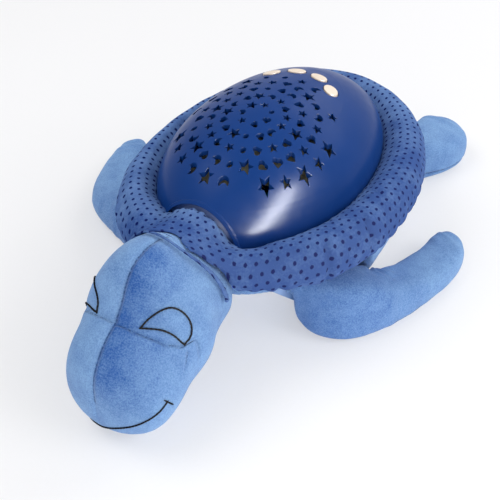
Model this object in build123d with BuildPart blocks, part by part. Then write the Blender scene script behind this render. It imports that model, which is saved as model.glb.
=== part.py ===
"""Plush sea turtle with a pierced shell that throws stars on the walls.

Millimetres, +Z up. The turtle looks along -Y and its left side is +X. The origin is on the
flat underside that it rests on, below the middle of the shell.
"""
from build123d import *
from math import cos, radians, sin
import os

os.makedirs("parts", exist_ok=True)

# Fits
sliding_gap = 0.4        # round a moving piece
seat_gap = 0.3           # between a soft piece and its neighbour
screw_gap = 0.1          # round a screw's shank
cell_gap = 0.5           # beside the cells

# Shell: an egg-shaped cap, blunter towards the head
shell_half_width = 52.6
shell_front = 72.5       # from the widest place to the front
shell_rear = 85.0
shell_height = 41.9
shell_centre_y = -6.3
shell_wall = 2.4
shell_rim_z = 66.8       # where the cap turns into the upright skirt

# Joint between the shell and the base, with the cloth's edge clamped in it
flange_reach = 4.0
flange_thickness = 2.2
cloth_thickness = 0.6
base_top_z = 57.0

# Base tub
base_inset = 12.0        # from the shell's outline in to the tub's wall
base_wall = 2.5
base_floor = 3.0
bow_start_y = -26.5      # where the tub's underside starts to rise towards the front
bow_angle = 46.0         # degrees that the rising part stands from the floor

# Stars, hearts, moons and dots, in rings about the lamp
pattern_centre_y = -21.0
ring_pitch = 7.6
ring_stretch = 1.08      # the rings are a little longer than wide
big_star_radius = 4.1
small_star_radius = 2.95
heart_size = 2.15
moon_radius = 2.55
dot_radius = 1.8
motif_growth = 0.05      # each ring's motifs are this much larger than the last one's
first_ring_scale = 0.84

# Arched notch at the shell's front
arch_half_width = 21.5
arch_height = 22.0
arch_foot_z = 62.0
arch_lip_width = 1.5
arch_lip_height = 0.7
inset_panel_thickness = 1.6
inset_panel_lap = 2.6

# Buttons, on an arc behind the pattern
button_half_length = 4.9
button_half_width = 3.7
button_arc_radius = 22.5
button_arc_centre_y = 11.2
button_angles = (37.5, 72.5, 107.5, 142.5)
button_names = ("left_outer_button", "left_inner_button", "right_inner_button", "right_outer_button")
button_rise = 0.8        # proud of the shell
button_lip = 1.2         # flange inside the shell
button_depth = 5.5       # from the shell's surface to the cap's underside
button_stem_radius = 1.7

# Button board
button_board_z = 88.0
button_board_length = 54.0
button_board_width = 24.0
button_board_y = 30.0
board_thickness = 1.6
switch_side = 6.0
switch_height = 3.5
switch_well_depth = 2.4
stem_entry = 0.8
post_radius = 2.5

# Deck and lamp
deck_inset = 9.2
deck_thickness = 2.0
lamp_hole_radius = 11.0
lamp_cup_wall = 1.6
lamp_cup_height = 4.0
lamp_board_radius = 14.5
lamp_board_drop = 5.4    # below the deck's underside
led_radius = 2.5
led_height = 8.6
led_circle_radius = 4.6
led_count = 3

# Main board
main_board_length = 48.0
main_board_width = 46.0
main_board_y = -20.0
main_board_z = 30.0
chip_side = 10.0
chip_height = 1.6
capacitor_radius = 3.0
capacitor_height = 9.0

# Cells: three AAA, side by side across the tub
cell_radius = 5.25
cell_body_length = 43.3
cell_nub_length = 1.2
cell_nub_radius = 1.9
cell_count = 3
contact_thickness = 0.5
contact_side = 9.0
spring_length = 4.0
spring_radius = 2.3
spring_wire_radius = 0.35
bay_wall = 1.6
bay_front_y = 8.0
door_thickness = 2.2
door_lap = 1.8
door_tab_length = 8.0
door_tab_half_width = 7.0

# Screws
case_screw_radius = 1.5
small_screw_radius = 1.0
case_screw_length = 9.0
small_screw_length = 5.0
case_boss_radius = 3.2
case_boss_inset = 5.2
case_screw_angles = (15, 90, 165, 232, 308)
deck_screw_angles = (40, 140, 222, 318)

# Leads
lead_radius = 0.6
lead_pitch = 1.4
lead_end_gap = 0.1
button_lead_slot = (8.7, 40.0)
chip_place = (-6.0, -20.0)
capacitor_places = ((15.0, -10.0), (15.0, -32.0))

# Padded ring round the shell
ring_foot_z = 66.0       # where the ring meets the shell
ring_gap = 0.4
ring_reach = 21.6
ring_profile = (         # outward from the shell, and height
    (5.0, 73.5),
    (10.0, 77.0),
    (14.5, 75.6),
    (19.0, 70.0),
    (ring_reach, 62.0),
    (19.6, 54.8),
    (14.5, 51.0),
    (7.0, 49.8),
)
ring_section_foot_z = 50.5
saddle_inset = 1.6       # from the arch's edge in to the cloth that fills it
collar_thickness = 2.2   # of the ring's cloth where it lies over the neck
hem_thickness = 1.2
hem_width = 2.4

# Belly
belly_reach = 19.0
belly_front = 33.0       # length of the bowl ahead of the widest place, less its reach
belly_top_z = 49.4
belly_depth = 56.0       # of the bowl that the underside is cut from
belly_core_bottom_z = 41.0
belly_core_top_z = 54.2
belly_band_reach = 6.0   # of the band that the neck is sewn to

# Head: distance ahead of the origin, bottom, top and half-width of each section
head_sections = (
    (84.0, 30.0, 72.0, 29.0),
    (94.0, 19.5, 81.0, 28.0),
    (104.0, 9.0, 86.5, 28.0),
    (113.0, 2.0, 89.0, 28.2),
    (124.0, 0.6, 87.0, 28.5),
    (132.0, 0.5, 79.0, 29.0),
    (140.0, 0.5, 65.5, 29.0),
    (149.0, 1.5, 59.5, 27.6),
    (156.0, 6.5, 52.5, 24.0),
    (160.0, 13.0, 46.0, 17.0),
    (162.0, 20.0, 38.0, 8.5),
)

# Flippers
flipper_floor_gap = 0.6
front_flipper_aim = 67.0     # degrees from +X that the flipper points
rear_flipper_aim = 90.0
front_flipper_profile = (    # distance from the hinge along the flipper, and height of its top
    (-60.0, 43.0), (-30.0, 43.0), (-10.0, 41.0), (8.0, 36.0), (22.0, 27.5), (36.0, 21.5),
    (55.0, 18.8), (80.0, 18.0), (130.0, 17.5),
)
rear_flipper_profile = ((-60.0, 21.6), (0.0, 21.6), (60.0, 21.3), (130.0, 20.8))
flipper_edge_radius = 6.5
flipper_gap = 0.7
front_root = (60.0, -31.0)
front_root_radius = 18.5
rear_root = (37.0, 73.0)
rear_root_radius = 17.5
rear_swing_in = 10.0     # degrees that a rear flipper swings towards the middle
right_splay = 30.0       # degrees that the right front flipper lies further out
front_flipper_outline = (
    (57.0, -48.2), (70.5, -42.5), (82.0, -27.0), (89.5, -10.0), (94.5, 12.0), (97.5, 32.0),
    (95.0, 50.0), (87.0, 58.0), (78.5, 56.5), (74.5, 40.0), (70.5, 22.0), (66.5, 6.0),
    (58.5, -10.5), (48.5, -17.8), (42.5, -30.0), (46.5, -42.5),
)
rear_flipper_outline = (
    (26.5, 61.0), (37.0, 56.5), (47.5, 62.0), (50.5, 76.0), (47.0, 92.0), (46.5, 105.0), (52.0, 116.0),
    (58.5, 127.0), (60.5, 140.0), (56.0, 154.0), (46.0, 163.0), (34.5, 165.0), (25.5, 158.5), (20.5, 145.0),
    (20.0, 123.0), (21.5, 100.0), (21.0, 76.0),
)

# Bands of an egg-shaped cap, in degrees above its rim: each face stays small enough to mesh
# finely, and the last band ends in a flat crown a hair short of the pole.
cap_bands = (0, 25, 52, 88)

# Levels worked out from the sizes above
skirt_bottom_z = base_top_z + cloth_thickness
flange_bottom_z = base_top_z - base_wall
deck_top_z = base_top_z + deck_thickness
lamp_board_top_z = base_top_z - lamp_board_drop
lamp_board_z = lamp_board_top_z - board_thickness
tub_inner_inset = base_inset + base_wall
button_board_top_z = button_board_z + board_thickness
switch_top_z = button_board_top_z + switch_height
stem_bottom_z = switch_top_z - stem_entry
main_board_top_z = main_board_z + board_thickness
cell_pitch = 2 * cell_radius + cell_gap
bay_length = 2 * contact_thickness + spring_length + cell_body_length + cell_nub_length
bay_width = cell_count * cell_pitch + cell_gap
bay_centre_y = bay_front_y + bay_width / 2
cell_z = door_thickness + cell_gap + cell_radius
bay_roof_z = cell_z + cell_radius + cell_gap
tall = 200.0             # longer than anything that it cuts


def egg_face(inset):
    """The shell's outline, moved in by inset, as a flat face."""
    centre = (0, shell_centre_y)
    half_width = shell_half_width - inset
    with BuildSketch() as outline:
        with BuildLine():
            EllipticalCenterArc(centre, half_width, shell_rear - inset, start_angle=0, arc_size=180)
            EllipticalCenterArc(centre, half_width, shell_front - inset, start_angle=180, arc_size=180)
        make_face()
    return outline.sketch


def egg_point(inset, angle):
    """Point of the outline, moved in by inset, at this angle from +X."""
    length = (shell_rear if sin(radians(angle)) > 0 else shell_front) - inset
    return ((shell_half_width - inset) * cos(radians(angle)), shell_centre_y + length * sin(radians(angle)))


def egg_prism(inset, bottom, top):
    """Upright column with the shell's outline, moved in by inset."""
    with BuildPart() as column:
        with BuildSketch(Plane.XY.offset(bottom)):
            add(egg_face(inset))
        extrude(amount=top - bottom)
    return column.part


def egg_cap(inset, height, upright=0.0, ends=(shell_rear, shell_front)):
    """Egg-shaped cap on the plane z = 0, moved in by inset, with an upright wall below it.

    The ends are its lengths towards +Y and -Y from the widest place, which is at the origin.
    """
    blocks = []
    for length, first_angle in zip(ends, (0, 180)):
        for low, high in zip(cap_bands, cap_bands[1:]):
            foot = (cos(radians(low)), sin(radians(low)))
            crown = (cos(radians(high)), sin(radians(high)))
            sole = -upright / height if low == 0 else foot[1]
            with BuildPart() as block:
                with BuildSketch(Plane.XZ):
                    with BuildLine():
                        CenterArc((0, 0), 1, low, high - low)
                        Polyline(crown, (0, crown[1]), (0, sole), (foot[0], sole))
                        if sole < foot[1]:
                            Line((foot[0], sole), foot)
                    make_face()
                revolve(axis=Axis.Z, revolution_arc=180)
            turned_block = Rot(0, 0, first_angle) * block.part
            blocks.append(scale(turned_block, by=(shell_half_width - inset, length - inset, height)))
    return blocks[0].fuse(*blocks[1:])


def shell_solid(inset, bottom):
    """Everything inside the shell's surface, moved in by inset, down to bottom."""
    cap = egg_cap(inset, shell_height - inset, shell_rim_z - bottom)
    return Pos(0, shell_centre_y, shell_rim_z) * cap


def arch_prism(grow, depth=tall):
    """Arch seen from the front, grown by grow, that reaches forward from the widest place."""
    with BuildPart() as prism:
        with BuildSketch(Plane.XZ.offset(-shell_centre_y)):
            with Locations((0, arch_foot_z)):
                Ellipse(arch_half_width + grow, arch_height + grow)
        extrude(amount=depth)
        split(bisect_by=Plane.XY.offset(skirt_bottom_z + flange_thickness - min(grow, 0)))
    return prism.part


def disc(radius, bottom, top, x=0.0, y=0.0):
    """Upright cylinder."""
    with BuildPart() as cylinder:
        with BuildSketch(Plane.XY.offset(bottom)):
            with Locations((x, y)):
                Circle(radius)
        extrude(amount=top - bottom)
    return cylinder.part


def star_points(radius):
    """Corners of a five-pointed star about the origin."""
    corners = []
    for step in range(10):
        reach = radius if step % 2 == 0 else 0.46 * radius
        corners.append((reach * sin(radians(36 * step)), reach * cos(radians(36 * step))))
    return corners


def motif(kind, size):
    """Flat outline of one cut-out: S or s is a star, h a heart, m a moon and d a dot."""
    with BuildSketch() as outline:
        if kind == "S":
            Polygon(*star_points(big_star_radius * size))
        elif kind == "s":
            Polygon(*star_points(small_star_radius * size))
        elif kind == "h":
            side = heart_size * size
            Rectangle(1.414 * side, 1.414 * side, rotation=45)
            with Locations((-side / 2, side / 2), (side / 2, side / 2)):
                Circle(0.707 * side)
        elif kind == "m":
            Circle(moon_radius * size)
            with Locations((0.9 * moon_radius * size, 0.3 * moon_radius * size)):
                Circle(0.8 * moon_radius * size, mode=Mode.SUBTRACT)
        else:
            Ellipse(dot_radius * size, 0.8 * dot_radius * size)
    return outline.sketch


# Each ring of the pattern: the angle of its first cut-out, then what follows anticlockwise.
pattern_rings = (
    (-15, "hdsSmsh"),
    (-3, "sshsmShmShhSdhm"),
    (0, "ShshmhdhssSmssmsdhsh"),
    (6, "hsmmSmhssmsmshdmShmdShhhs"),
    (-5, "sS.s.msddShhm.SssmSm.SsS"),
)


def pattern_places():
    """Kind, place, turn and size of every cut-out."""
    places = []
    for number, (first_angle, kinds) in enumerate(pattern_rings, start=1):
        for step, kind in enumerate(kinds):
            if kind == ".":
                continue
            angle = radians(first_angle + 360 * step / len(kinds))
            x = ring_pitch * number * cos(angle)
            y = pattern_centre_y + ring_stretch * ring_pitch * number * sin(angle)
            size = first_ring_scale + motif_growth * (number - 1)
            places.append((kind, (x, y), 47 * step + 20 * number, size))
    return places


def button_place(angle):
    """Place and turn of the button at this angle of the arc."""
    x = button_arc_radius * cos(radians(angle))
    y = button_arc_centre_y + button_arc_radius * sin(radians(angle))
    return Location((x, y, 0), angle + 90)


def button_column(angle, grow, bottom, top):
    """Upright oval column at one button."""
    with BuildPart() as column:
        with BuildSketch(Plane.XY.offset(bottom)):
            with Locations(button_place(angle)):
                Ellipse(button_half_length + grow, button_half_width + grow)
        extrude(amount=top - bottom)
    return column.part


def countersunk_screw(radius, length):
    """Screw along -Z with its flat head's face at z = 0."""
    with BuildPart() as screw:
        with BuildSketch(Plane.XZ):
            with BuildLine():
                Polyline((0, 0), (1.9 * radius, 0), (radius, -radius), (radius, -length), (0, -length), close=True)
            make_face()
        revolve(axis=Axis.Z)
        with BuildSketch(Plane.XY):
            Rectangle(1.9 * radius, 0.4 * radius)
            Rectangle(0.4 * radius, 1.9 * radius)
        extrude(amount=-0.6 * radius, mode=Mode.SUBTRACT)
    return screw.part


def countersunk_hole(radius, length):
    """Clearance for a countersunk screw, along -Z from z = 0."""
    wide = radius + screw_gap
    with BuildPart() as hole:
        with BuildSketch(Plane.XZ):
            with BuildLine():
                Polyline((0, 0), (0.9 * radius + wide, 0), (wide, -radius), (wide, -length), (0, -length), close=True)
            make_face()
        revolve(axis=Axis.Z)
    return hole.part


def pan_screw(radius, length):
    """Screw along -Z whose pan head stands above z = 0."""
    with BuildPart() as screw:
        with BuildSketch(Plane.XY):
            Circle(radius)
        extrude(amount=-length)
        with BuildSketch(Plane.XY):
            Circle(1.9 * radius)
        extrude(amount=1.2 * radius)
        with BuildSketch(Plane.XY.offset(1.2 * radius)):
            Rectangle(2.2 * radius, 0.4 * radius)
            Rectangle(0.4 * radius, 2.2 * radius)
        extrude(amount=-0.6 * radius, mode=Mode.SUBTRACT)
    return screw.part


upside_down = Rot(180, 0, 0)

# Leads: points from the upper end down
board_end_z = main_board_top_z + lead_end_gap
battery_lead_points = ((-15, -3, main_board_z - lead_end_gap), (-15, 3.5, 20), (-15, 5, 10))
led_lead_points = ((-7, -31, lamp_board_z - lead_end_gap), (-9, -33, 41), (-7, -31, board_end_z))
button_lead_points = (
    (8, 38, button_board_z - lead_end_gap), (8, 40, 72), (8, 40, 58), (8, 30, 44), (8, 2, 38), (8, -6, board_end_z),
)

# Places that several pieces share
case_screw_places = [egg_point(case_boss_inset, angle) for angle in case_screw_angles]
deck_screw_places = [egg_point(tub_inner_inset + 0.6 * post_radius, angle) for angle in deck_screw_angles]
lamp_post_places = [(side * (lamp_board_radius - post_radius), pattern_centre_y) for side in (-1, 1)]
button_post_places = ((-23.0, 33.0), (0.0, 25.0), (23.0, 33.0))
main_post_places = [
    (x * (main_board_length / 2 - post_radius), main_board_y + y * (main_board_width / 2 - post_radius))
    for x in (-1, 1) for y in (-1, 1)
]

# --- star_dome ---------------------------------------------------------------
outer_shell = shell_solid(0, skirt_bottom_z)
inner_shell = shell_solid(shell_wall, skirt_bottom_z)
raised_shell = shell_solid(-arch_lip_height, skirt_bottom_z)
arch_lip = (raised_shell & arch_prism(arch_lip_width)) - inner_shell
post_room = shell_solid(shell_wall / 2, skirt_bottom_z)
case_bosses = [disc(case_boss_radius, skirt_bottom_z, shell_rim_z + 6, *place) for place in case_screw_places]
board_posts = [disc(post_radius, button_board_top_z, tall, *place) for place in button_post_places]

with BuildPart() as star_dome:
    add(outer_shell)
    add(inner_shell, mode=Mode.SUBTRACT)
    with BuildSketch(Plane.XY.offset(skirt_bottom_z)):
        add(egg_face(-flange_reach))
        add(egg_face(shell_wall / 2), mode=Mode.SUBTRACT)
    extrude(amount=flange_thickness)
    for post in case_bosses + board_posts:
        add(post & post_room)
    add(arch_lip)
    add(arch_prism(0), mode=Mode.SUBTRACT)
    with BuildSketch(Plane.XY.offset(shell_rim_z)):
        for kind, place, turn, size in pattern_places():
            with Locations(Location((*place, 0), turn)):
                add(motif(kind, size))
    extrude(amount=tall, mode=Mode.SUBTRACT)
    with BuildSketch(Plane.XY.offset(shell_rim_z)):
        for angle in button_angles:
            with Locations(button_place(angle)):
                Ellipse(button_half_length + sliding_gap, button_half_width + sliding_gap)
    extrude(amount=tall, mode=Mode.SUBTRACT)
    with Locations(*[(x, y, skirt_bottom_z) for x, y in case_screw_places]):
        Cylinder(case_screw_radius, 2 * case_screw_length, mode=Mode.SUBTRACT)
    with Locations(*[(x, y, button_board_top_z) for x, y in button_post_places]):
        Cylinder(small_screw_radius, 2 * small_screw_length, mode=Mode.SUBTRACT)
star_dome.part.label = "star_dome"
export_step(star_dome.part, "parts/star_dome.step")

# --- front_inset: paler panel behind the arched notch ---------------------------
inset_front = shell_solid(shell_wall + seat_gap / 3, skirt_bottom_z)
inset_back = shell_solid(shell_wall + seat_gap / 3 + inset_panel_thickness, skirt_bottom_z)
inset_arch = arch_prism(inset_panel_lap)

with BuildPart() as front_inset:
    add(inset_front & inset_arch)
    add(inset_back, mode=Mode.SUBTRACT)
front_inset.part.label = "front_inset"
export_step(front_inset.part, "parts/front_inset.step")

# --- buttons ----------------------------------------------------------------------
button_crown = shell_solid(-button_rise, skirt_bottom_z)
button_flange_room = shell_solid(shell_wall + sliding_gap, skirt_bottom_z)
for name, angle in zip(button_names, button_angles):
    spot = button_place(angle).position
    flange = button_column(angle, button_lip, shell_rim_z, tall) & button_flange_room
    flange_top = flange.bounding_box().max.Z
    with BuildPart() as button_cap:
        add(button_column(angle, 0, shell_rim_z, tall) & button_crown)
        add(flange)
        floor = flange_top - button_depth
        split(bisect_by=Plane.XY.offset(floor))
        with BuildSketch(Plane.XY.offset(floor)):
            with Locations((spot.X, spot.Y)):
                Circle(button_stem_radius)
        extrude(amount=stem_bottom_z - floor)
        fillet(button_cap.faces().sort_by(Axis.Z)[-1].edges(), radius=button_rise / 2)
    button_cap.part.label = name
    export_step(button_cap.part, f"parts/{name}.step")

# --- button board and its switches ------------------------------------------------
with BuildPart() as button_board:
    with BuildSketch(Plane.XY.offset(button_board_z)):
        with Locations((0, button_board_y)):
            RectangleRounded(button_board_length, button_board_width, 2 * post_radius)
        with Locations(*button_post_places):
            Circle(small_screw_radius + screw_gap, mode=Mode.SUBTRACT)
    extrude(amount=board_thickness)
button_board.part.label = "button_board"
export_step(button_board.part, "parts/button_board.step")

with BuildPart() as button_switches:
    with BuildSketch(Plane.XY.offset(button_board_top_z)):
        for angle in button_angles:
            with Locations(button_place(angle)):
                Rectangle(switch_side, switch_side)
    extrude(amount=switch_height)
    with BuildSketch(Plane.XY.offset(switch_top_z)):
        for angle in button_angles:
            with Locations(button_place(angle)):
                Circle(button_stem_radius + sliding_gap)
    extrude(amount=-switch_well_depth, mode=Mode.SUBTRACT)
button_switches.part.label = "button_switches"
export_step(button_switches.part, "parts/button_switches.step")

with BuildPart() as button_board_screws:
    for place in button_post_places:
        with Locations((*place, button_board_z)):
            add(upside_down * pan_screw(small_screw_radius, small_screw_length))
button_board_screws.part.label = "button_board_screws"
export_step(button_board_screws.part, "parts/button_board_screws.step")

# --- base_case: tub with the cell bay, the clamping flange and the posts ---------------
bay_centre = (0, bay_centre_y)
door_length = bay_length + 2 * door_lap
door_width = bay_width + 2 * door_lap
door_tab_y = bay_centre_y + door_width / 2
door_screw_y = door_tab_y + door_tab_length / 2 - case_screw_radius / 2
deck_boss_bottom_z = base_top_z - 2 * small_screw_length
deck_bosses = [disc(post_radius, deck_boss_bottom_z, base_top_z, *place) for place in deck_screw_places]
deck_boss_room = egg_prism(base_inset + base_wall / 2, 0, base_top_z)


def door_outline(grow):
    """Battery door seen from below, grown by grow."""
    with BuildSketch() as outline:
        with Locations(bay_centre):
            Rectangle(door_length + 2 * grow, door_width + 2 * grow)
        with Locations((0, door_tab_y)):
            Rectangle(2 * door_tab_half_width + 2 * grow, 2 * door_tab_length + 2 * grow)
    return outline.sketch




def behind_bow(shape, inward):
    """The part of the shape behind the tub's rising front wall, moved in by inward."""
    foot = (0, bow_start_y + inward / sin(radians(bow_angle)), 0)
    bow = Plane(foot, x_dir=(1, 0, 0), z_dir=(0, sin(radians(bow_angle)), cos(radians(bow_angle))))
    return split(shape, bisect_by=bow)


tub_room = behind_bow(egg_prism(tub_inner_inset, base_floor, base_top_z), base_wall)
tub_room_behind_posts = behind_bow(egg_prism(base_inset + base_wall / 2, 0, base_top_z), base_wall / 2)

with BuildPart() as base_case:
    add(behind_bow(egg_prism(base_inset, 0, base_top_z), 0))
    with BuildSketch(Plane.XY.offset(flange_bottom_z)):
        add(egg_face(-flange_reach))
    extrude(amount=base_wall)
    add(tub_room, mode=Mode.SUBTRACT)
    with BuildSketch(Plane.XY.offset(base_floor / 2)):
        with Locations(bay_centre):
            Rectangle(bay_length + 2 * bay_wall, bay_width + 2 * bay_wall)
    extrude(amount=bay_roof_z + bay_wall - base_floor / 2)
    for boss in deck_bosses:
        add(boss & deck_boss_room)
    for place in main_post_places:
        add(disc(post_radius, base_floor / 2, main_board_z, *place) & tub_room_behind_posts)
    add(disc(2 * case_screw_radius + bay_wall, base_floor / 2, case_screw_length + bay_wall, 0, door_screw_y))
    with BuildSketch(Plane.XY):
        with Locations(bay_centre):
            Rectangle(bay_length, bay_width)
    extrude(amount=bay_roof_z, mode=Mode.SUBTRACT)
    with BuildSketch(Plane.XY):
        add(door_outline(sliding_gap))
    extrude(amount=door_thickness, mode=Mode.SUBTRACT)
    with Locations((0, door_screw_y, 0)):
        Cylinder(case_screw_radius, 2 * case_screw_length, mode=Mode.SUBTRACT)
    with Locations(*[(x, y, base_top_z) for x, y in deck_screw_places]):
        Cylinder(small_screw_radius, 2 * small_screw_length, mode=Mode.SUBTRACT)
    with Locations(*[(x, y, main_board_z) for x, y in main_post_places]):
        Cylinder(small_screw_radius, 2 * small_screw_length, mode=Mode.SUBTRACT)
    with Locations(*[(x, y, flange_bottom_z) for x, y in case_screw_places]):
        add(upside_down * countersunk_hole(case_screw_radius, case_screw_length), mode=Mode.SUBTRACT)
base_case.part.label = "base_case"
export_step(base_case.part, "parts/base_case.step")

# --- battery_door and its screw --------------------------------------------------------
with BuildPart() as battery_door:
    with BuildSketch(Plane.XY):
        add(door_outline(0))
    extrude(amount=door_thickness)
    with Locations((0, door_screw_y, 0)):
        add(upside_down * countersunk_hole(case_screw_radius, case_screw_length), mode=Mode.SUBTRACT)
battery_door.part.label = "battery_door"
export_step(battery_door.part, "parts/battery_door.step")

with BuildPart() as battery_screw:
    with Locations((0, door_screw_y, 0)):
        add(upside_down * countersunk_screw(case_screw_radius, case_screw_length))
battery_screw.part.label = "battery_screw"
export_step(battery_screw.part, "parts/battery_screw.step")

# --- cells, contact plates and springs -----------------------------------------------
cell_rows = [(1 if row % 2 == 0 else -1, bay_front_y + cell_gap + cell_radius + row * cell_pitch)
             for row in range(cell_count)]
plate_face_x = bay_length / 2 - contact_thickness
cell_foot_x = plate_face_x - spring_length

with BuildPart() as battery_cells:
    for way, y in cell_rows:
        with BuildSketch(Plane.YZ.offset(-way * cell_foot_x)):
            with Locations((y, cell_z)):
                Circle(cell_radius)
        extrude(amount=way * cell_body_length)
        with BuildSketch(Plane.YZ.offset(way * (cell_body_length - cell_foot_x))):
            with Locations((y, cell_z)):
                Circle(cell_nub_radius)
        extrude(amount=way * cell_nub_length)
battery_cells.part.label = "battery_cells"
export_step(battery_cells.part, "parts/battery_cells.step")

with BuildPart() as contact_plates:
    for way, y in cell_rows:
        for end in (-1, 1):
            with BuildSketch(Plane.YZ.offset(end * plate_face_x)):
                with Locations((y, cell_z)):
                    Rectangle(contact_side, contact_side)
            extrude(amount=end * contact_thickness)
contact_plates.part.label = "contact_plates"
export_step(contact_plates.part, "parts/contact_plates.step")

spring_coil_length = spring_length - 2 * spring_wire_radius - 2 * screw_gap
with BuildPart() as battery_springs:
    for way, y in cell_rows:
        start = (-way * (plate_face_x - spring_wire_radius - screw_gap), y, cell_z)
        with BuildLine():
            coil = Helix(spring_coil_length / 3, spring_coil_length, spring_radius, start, direction=(way, 0, 0))
        with BuildSketch(Plane(coil @ 0, z_dir=coil % 0)):
            Circle(spring_wire_radius)
        sweep(path=coil, is_frenet=True)
battery_springs.part.label = "battery_springs"
export_step(battery_springs.part, "parts/battery_springs.step")

# --- screws that hold the case, the deck and the boards -----------------------------------
with BuildPart() as case_screws:
    for place in case_screw_places:
        with Locations((*place, flange_bottom_z)):
            add(upside_down * countersunk_screw(case_screw_radius, case_screw_length))
case_screws.part.label = "case_screws"
export_step(case_screws.part, "parts/case_screws.step")

with BuildPart() as deck_screws:
    for place in deck_screw_places:
        with Locations((*place, deck_top_z)):
            add(pan_screw(small_screw_radius, small_screw_length))
deck_screws.part.label = "deck_screws"
export_step(deck_screws.part, "parts/deck_screws.step")

with BuildPart() as lamp_board_screws:
    for place in lamp_post_places:
        with Locations((*place, lamp_board_z)):
            add(upside_down * pan_screw(small_screw_radius, small_screw_length))
lamp_board_screws.part.label = "lamp_board_screws"
export_step(lamp_board_screws.part, "parts/lamp_board_screws.step")

with BuildPart() as main_board_screws:
    for place in main_post_places:
        with Locations((*place, main_board_top_z)):
            add(pan_screw(small_screw_radius, small_screw_length))
main_board_screws.part.label = "main_board_screws"
export_step(main_board_screws.part, "parts/main_board_screws.step")

# --- light_deck: cream floor under the shell, with the lamp's cup ----------------------------
lamp_place = (0, pattern_centre_y)
with BuildPart() as light_deck:
    add(egg_prism(deck_inset, base_top_z, deck_top_z))
    with BuildSketch(Plane.XY.offset(base_top_z)):
        with Locations(lamp_place):
            Circle(lamp_hole_radius + lamp_cup_wall)
    extrude(amount=deck_thickness + lamp_cup_height)
    with BuildSketch(Plane.XY.offset(base_top_z)):
        with Locations(lamp_place):
            Circle(lamp_hole_radius)
        with Locations(button_lead_slot):
            SlotOverall(6 * lead_radius + lead_pitch, 5 * lead_radius)
        with Locations(*deck_screw_places):
            Circle(small_screw_radius + screw_gap)
    extrude(amount=tall, mode=Mode.SUBTRACT)
    for place in lamp_post_places:
        add(disc(post_radius, lamp_board_top_z, deck_top_z, *place))
    with Locations(*[(x, y, lamp_board_top_z) for x, y in lamp_post_places]):
        Cylinder(small_screw_radius, 2 * small_screw_length, mode=Mode.SUBTRACT)
light_deck.part.label = "light_deck"
export_step(light_deck.part, "parts/light_deck.step")

# --- lamp board, main board and what stands on them --------------------------------------------
with BuildPart() as lamp_board:
    with BuildSketch(Plane.XY.offset(lamp_board_z)):
        with Locations(lamp_place):
            Circle(lamp_board_radius)
        with Locations(*lamp_post_places):
            Circle(small_screw_radius + screw_gap, mode=Mode.SUBTRACT)
    extrude(amount=board_thickness)
lamp_board.part.label = "lamp_board"
export_step(lamp_board.part, "parts/lamp_board.step")

with BuildPart() as projector_leds:
    with BuildSketch(Plane.XY.offset(lamp_board_top_z)):
        with Locations(lamp_place):
            with PolarLocations(led_circle_radius, led_count, start_angle=90):
                Circle(led_radius)
    extrude(amount=led_height)
    fillet(projector_leds.edges().group_by(Axis.Z)[-1], radius=0.9 * led_radius)
projector_leds.part.label = "projector_leds"
export_step(projector_leds.part, "parts/projector_leds.step")

with BuildPart() as main_board:
    with BuildSketch(Plane.XY.offset(main_board_z)):
        with Locations((0, main_board_y)):
            Rectangle(main_board_length, main_board_width)
        with Locations(*main_post_places):
            Circle(small_screw_radius + screw_gap, mode=Mode.SUBTRACT)
    extrude(amount=board_thickness)
main_board.part.label = "main_board"
export_step(main_board.part, "parts/main_board.step")

with BuildPart() as control_chip:
    with BuildSketch(Plane.XY.offset(main_board_top_z)):
        with Locations(chip_place):
            Rectangle(chip_side, chip_side)
    extrude(amount=chip_height)
control_chip.part.label = "control_chip"
export_step(control_chip.part, "parts/control_chip.step")

with BuildPart() as capacitors:
    with BuildSketch(Plane.XY.offset(main_board_top_z)):
        with Locations(*capacitor_places):
            Circle(capacitor_radius)
    extrude(amount=capacitor_height)
capacitors.part.label = "capacitors"
export_step(capacitors.part, "parts/capacitors.step")


# --- leads ------------------------------------------------------------------------------------
def lead_pair(points):
    """Two wires side by side along X, through these points."""
    with BuildPart() as pair:
        for shift in (0, lead_pitch):
            with BuildLine():
                path = Spline(*[(x + shift, y, z) for x, y, z in points], tangents=[(0, 0, -1), (0, 0, -1)])
            with BuildSketch(Plane(path @ 0, z_dir=path % 0)):
                Circle(lead_radius)
            sweep(path=path)
    return pair.part


battery_lead = lead_pair(battery_lead_points)
battery_lead.label = "battery_lead"
export_step(battery_lead, "parts/battery_lead.step")

led_lead = lead_pair(led_lead_points)
led_lead.label = "led_lead"
export_step(led_lead, "parts/led_lead.step")

button_lead = lead_pair(button_lead_points)
button_lead.label = "button_lead"
export_step(button_lead, "parts/button_lead.step")

# --- clamped_hem: edge of the cover's cloth, held between the shell and the base -------------
with BuildPart() as clamped_hem:
    with BuildSketch(Plane.XY.offset(base_top_z)):
        add(egg_face(-flange_reach))
        add(egg_face(screw_gap), mode=Mode.SUBTRACT)
    extrude(amount=cloth_thickness)
clamped_hem.part.label = "clamped_hem"
export_step(clamped_hem.part, "parts/clamped_hem.step")


# --- plush_head ----------------------------------------------------------------------------------
def head_solid(grow):
    """The stuffed head and neck, grown by grow."""
    with BuildPart() as head:
        for ahead, bottom, top, half_width in head_sections:
            with BuildSketch(Plane.XZ.offset(ahead - grow if ahead == head_sections[0][0] else ahead)):
                with Locations((0, (bottom + top) / 2)):
                    Ellipse(half_width + grow, (top - bottom) / 2 + grow)
        loft()
    return head.part


plush_head = head_solid(0)
plush_head.label = "plush_head"
export_step(plush_head, "parts/plush_head.step")

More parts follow.
